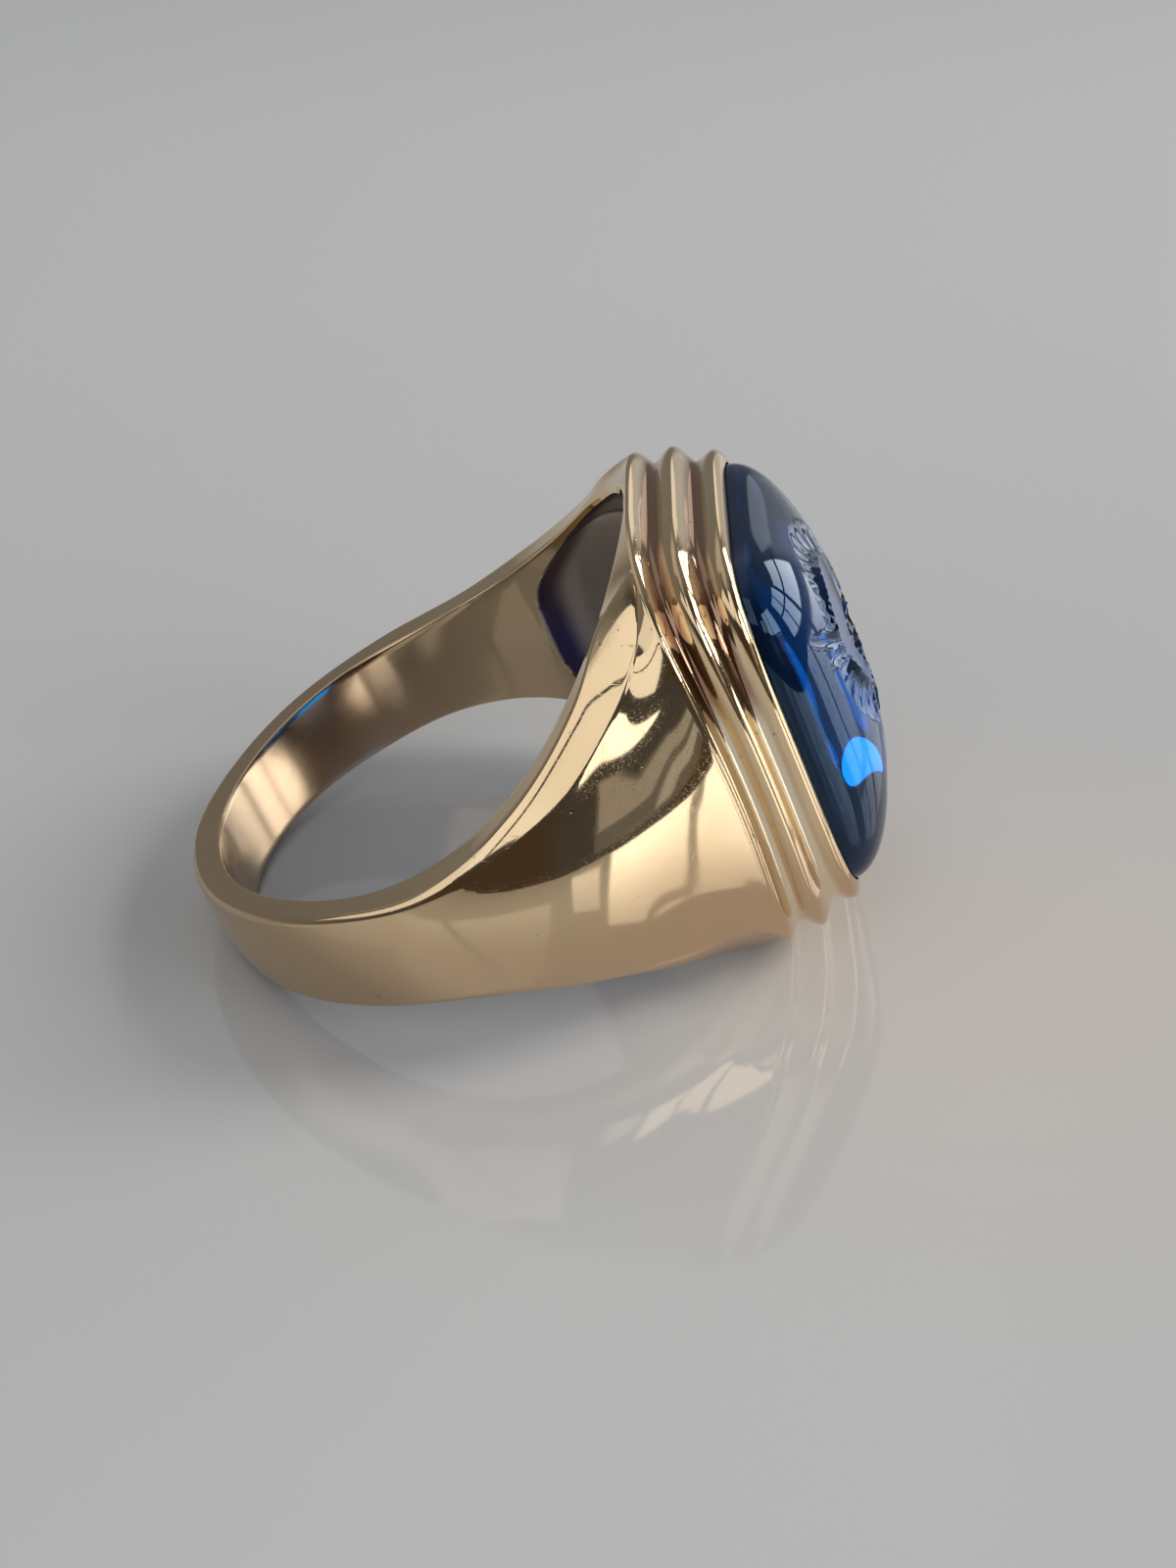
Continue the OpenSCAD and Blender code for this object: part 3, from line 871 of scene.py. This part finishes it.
def table_finish():
    """Pale lacquered table top with a weak mirror gloss, painted lighter farther away and with a painted warm
    glow beside the bezel.
    """
    material, web = plain_material("pale_table")
    where = web.node("ShaderNodeTexCoord", out="Object")
    cloud = web.node("ShaderNodeTexNoise", None, {"Vector": where, "Scale": 9.0, "Detail": 2.0})
    x, y, _ = web.split(where)
    from_spot = web.math("SQRT", (x - PAINTED_GLOW_SPOT[0]) ** 2 + (y - PAINTED_GLOW_SPOT[1]) ** 2)
    colour = web.mix(web.ramp(cloud, 0.3, 0.7), *TABLE_GREYS)
    # painted light: warm glow beside the bezel
    colour = web.mix(web.ramp(from_spot, 0.022, 0.002), colour, TABLE_PAINTED_GLOW)
    # painted light: lighter farther away
    colour = web.mix(web.ramp(y, -0.02, 0.12), colour, TABLE_FAR_PAINTED_LIGHT)
    values = {"Base Color": colour, "Roughness": 0.06, "IOR": 1.5, "Specular IOR Level": 0.6}
    web.end("ShaderNodeOutputMaterial", web.node("ShaderNodeBsdfPrincipled", None, values))
    return material


gold = gold_finish()
ring = gold_ring(gold)
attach(ring, "root")
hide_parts("ring_body")

blue = stone_finish()
stone = blue_stone(blue)
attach(stone, "root")
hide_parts("intaglio_stone")


# Stage: table, lights and camera


# Half size of the table top, and its near edge: y at x = 0, and slope
TABLE_SIZE = 60.0
NEAR_EDGE = (-0.061, 0.44)


def table_top(low):
    mesh = bpy.data.meshes.new("table_top")
    corners = [(x, NEAR_EDGE[0] + NEAR_EDGE[1] * x, low) for x in (-TABLE_SIZE, TABLE_SIZE)]
    corners += [(TABLE_SIZE, TABLE_SIZE, low), (-TABLE_SIZE, TABLE_SIZE, low)]
    mesh.from_pydata(corners, [], [(0, 1, 2, 3)])
    mesh.materials.append(table_finish())
    floor = thing_of("table_top", mesh)


# Soft windows round the table, in degrees: the angle is counted from the stone's side by way of the
# far side, and the height is over the horizon.
# Columns: from and to of the angle, from and to of the height, softness, brightness
WINDOWS = [
    (232, 291, 20, 68, 1.0, 1.05),
    (188, 238, 13, 34, 2.0, 0.9),
    (302, 313, 12, 26, 0.6, 1.9),
    (311, 345, -8, 9, 0.5, 0.14),
    (312, 316, -3, 8, 0.4, 0.34),
    (318, 321, -7, 5, 0.4, 0.42),
    (322, 324, -2, 9, 0.3, 0.30),
    (329, 345, -1, 9, 0.6, 0.50),
    (334, 338, -6, 3, 0.4, 0.36),
    (316, 345, 9, 34, 0.6, 4.4),
    (2, 30, 3, 30, 0.6, 4.0),
    (34, 58, 3, 26, 0.6, 3.6),
    (60, 75, -2, 12, 3.0, 0.5),
    (64, 76, 10, 22, 1.2, 0.9),
    (75, 160, 34, 64, 7.0, 0.5),
    (60, 240, 62, 90, 8.0, 0.5),
]
# Dark bars across the windows: angle and height of both ends, half width
BARS = [
    (252, 20, 273, 58, 1.3),
    (325, -8, 328, 36, 0.8),
    (303, 9, 345, 10, 0.6),
    (16, 0, 17, 32, 1.0),
    (0, 16, 60, 15, 0.8),
]


# Brightness of the bars and of the unlit parts of the room
DIM = 0.06
COOL_LIGHT = (0.96, 0.98, 1.0, 1)
BROWN_LIGHT = (1.0, 0.72, 0.52, 1)
# What the camera sees past the table
BACKDROP = (0.43, 0.43, 0.42, 1)


def room():
    """The room that the ring mirrors: a dim room with soft bright windows."""
    world = bpy.data.worlds.new("room")
    world.use_nodes = True
    world.node_tree.nodes.clear()
    web = Web(world.node_tree)
    x, y, z = web.split(web.node("ShaderNodeTexCoord", out="Generated"))
    angle = web.math("MODULO", web.math("ARCTAN2", y, x) * (180 / math.pi) + 360.0, 360.0)
    height = web.math("ARCSINE", z) * (180 / math.pi)

    def inside(value, low, high, soft):
        return web.ramp(value, low - soft, low + soft) * (1.0 - web.ramp(value, high - soft, high + soft))

    far = inside(angle, 20, 200, 30)
    light = DIM + far * 0.14 + web.ramp(height, 50, 90) * 0.25
    for a0, a1, h0, h1, soft, bright in WINDOWS:
        mask = inside(angle, a0, a1, soft) * inside(height, h0, h1, soft)
        light = light * (1.0 - mask) + mask * bright
    for a0, h0, a1, h1, half in BARS:
        length = math.hypot(a1 - a0, h1 - h0)
        ca, ch = (a1 - a0) / length, (h1 - h0) / length
        along_bar = (angle - a0) * ca + (height - h0) * ch
        off = web.math("ABSOLUTE", (height - h0) * ca - (angle - a0) * ch)
        mask = inside(along_bar, 0, length, 0.5) * (1.0 - web.ramp(off, half * 0.6, half * 1.4))
        light = light * (1.0 - mask) + mask * DIM
    low_window = inside(angle, 322, 346, 2) * (1.0 - web.ramp(height, 8.5, 9.5))
    brown = inside(angle, 235, 292, 8) * (1.0 - web.ramp(height, 12, 20)) + low_window * 0.7
    tint = web.mix(brown, COOL_LIGHT, BROWN_LIGHT)
    mirrored = web.node("ShaderNodeBackground", None, {"Color": tint, "Strength": light})
    seen = web.node("ShaderNodeBackground", None, {"Color": BACKDROP, "Strength": 1.0})
    is_camera = web.node("ShaderNodeLightPath")
    both = web.node("ShaderNodeMixShader", None, {0: is_camera, 1: mirrored, 2: seen})
    web.end("ShaderNodeOutputWorld", both)
    bpy.context.scene.world = world


# What the two small lamps behind the stone point at
STONE_SPOT = (0.0125, 0.006, -0.001)
# Columns: name, place, aim, diameter, power, colour, whether it shines only through the stone
LAMPS = [
    ("side_lamp", (0.48, 0.07, 0.35), (0, 0, 0), 0.29, 1.5, (1.0, 0.975, 0.94), False),
    ("back_lamp", (0.018, 0.021, -0.001), STONE_SPOT, 0.008, 0.0021, (0.6, 0.86, 1.0), True),
    ("streak_lamp", (0.024, 0.022, -0.004), STONE_SPOT, 0.002, 0.000022, (0.9, 0.80, 1.0), True),
]


def lamp(name, place, toward, width, power, tint, through):
    """A soft round lamp that isn't mirrored. It shines only through the stone, or only on dull
    surfaces, which leaves the table."""
    light = bpy.data.lights.new(name, "AREA")
    light.shape = "DISK"
    light.size = width
    light.energy = power
    light.color = tint
    thing = bpy.data.objects.new(name, light)
    way = Vector(place) - Vector(toward)
    thing.matrix_world = Matrix.Translation(Vector(place)) @ way.to_track_quat("Z", "Y").to_matrix().to_4x4()
    thing.visible_camera = False
    thing.visible_glossy = False
    thing.visible_diffuse = not through
    thing.visible_transmission = through
    bpy.context.scene.collection.objects.link(thing)


# Where the camera stands and looks in millimetres, its roll in degrees, its lens for a 24 mm frame
EYE = (8.12, -74.72, 46.28)
AIM = (5.00, -6.99, 3.83)
ROLL = -3.37
LENS = 34.5


def camera():
    """The camera that was fitted to the ring's outlines in the photo."""
    lens = bpy.data.cameras.new("view")
    lens.sensor_fit = "VERTICAL"
    lens.sensor_height = 24
    lens.lens = LENS
    lens.clip_start = 0.001
    eye = bpy.data.objects.new("view", lens)
    place = Vector(EYE) * 0.001
    aim = Vector(AIM) * 0.001
    back = (place - aim).normalized()
    level = Vector((0, 0, 1)).cross(back).normalized()
    above = back.cross(level)
    roll = math.radians(ROLL)
    right = level * math.cos(roll) + above * math.sin(roll)
    up = above * math.cos(roll) - level * math.sin(roll)
    turn = Matrix((right, up, back)).transposed().to_4x4()
    eye.matrix_world = Matrix.Translation(place) @ turn
    bpy.context.scene.collection.objects.link(eye)
    bpy.context.scene.camera = eye


table_top(cad_box[0][2])
room()
for row in LAMPS:
    lamp(*row)
bpy.context.scene.view_settings.view_transform = "Standard"
camera()
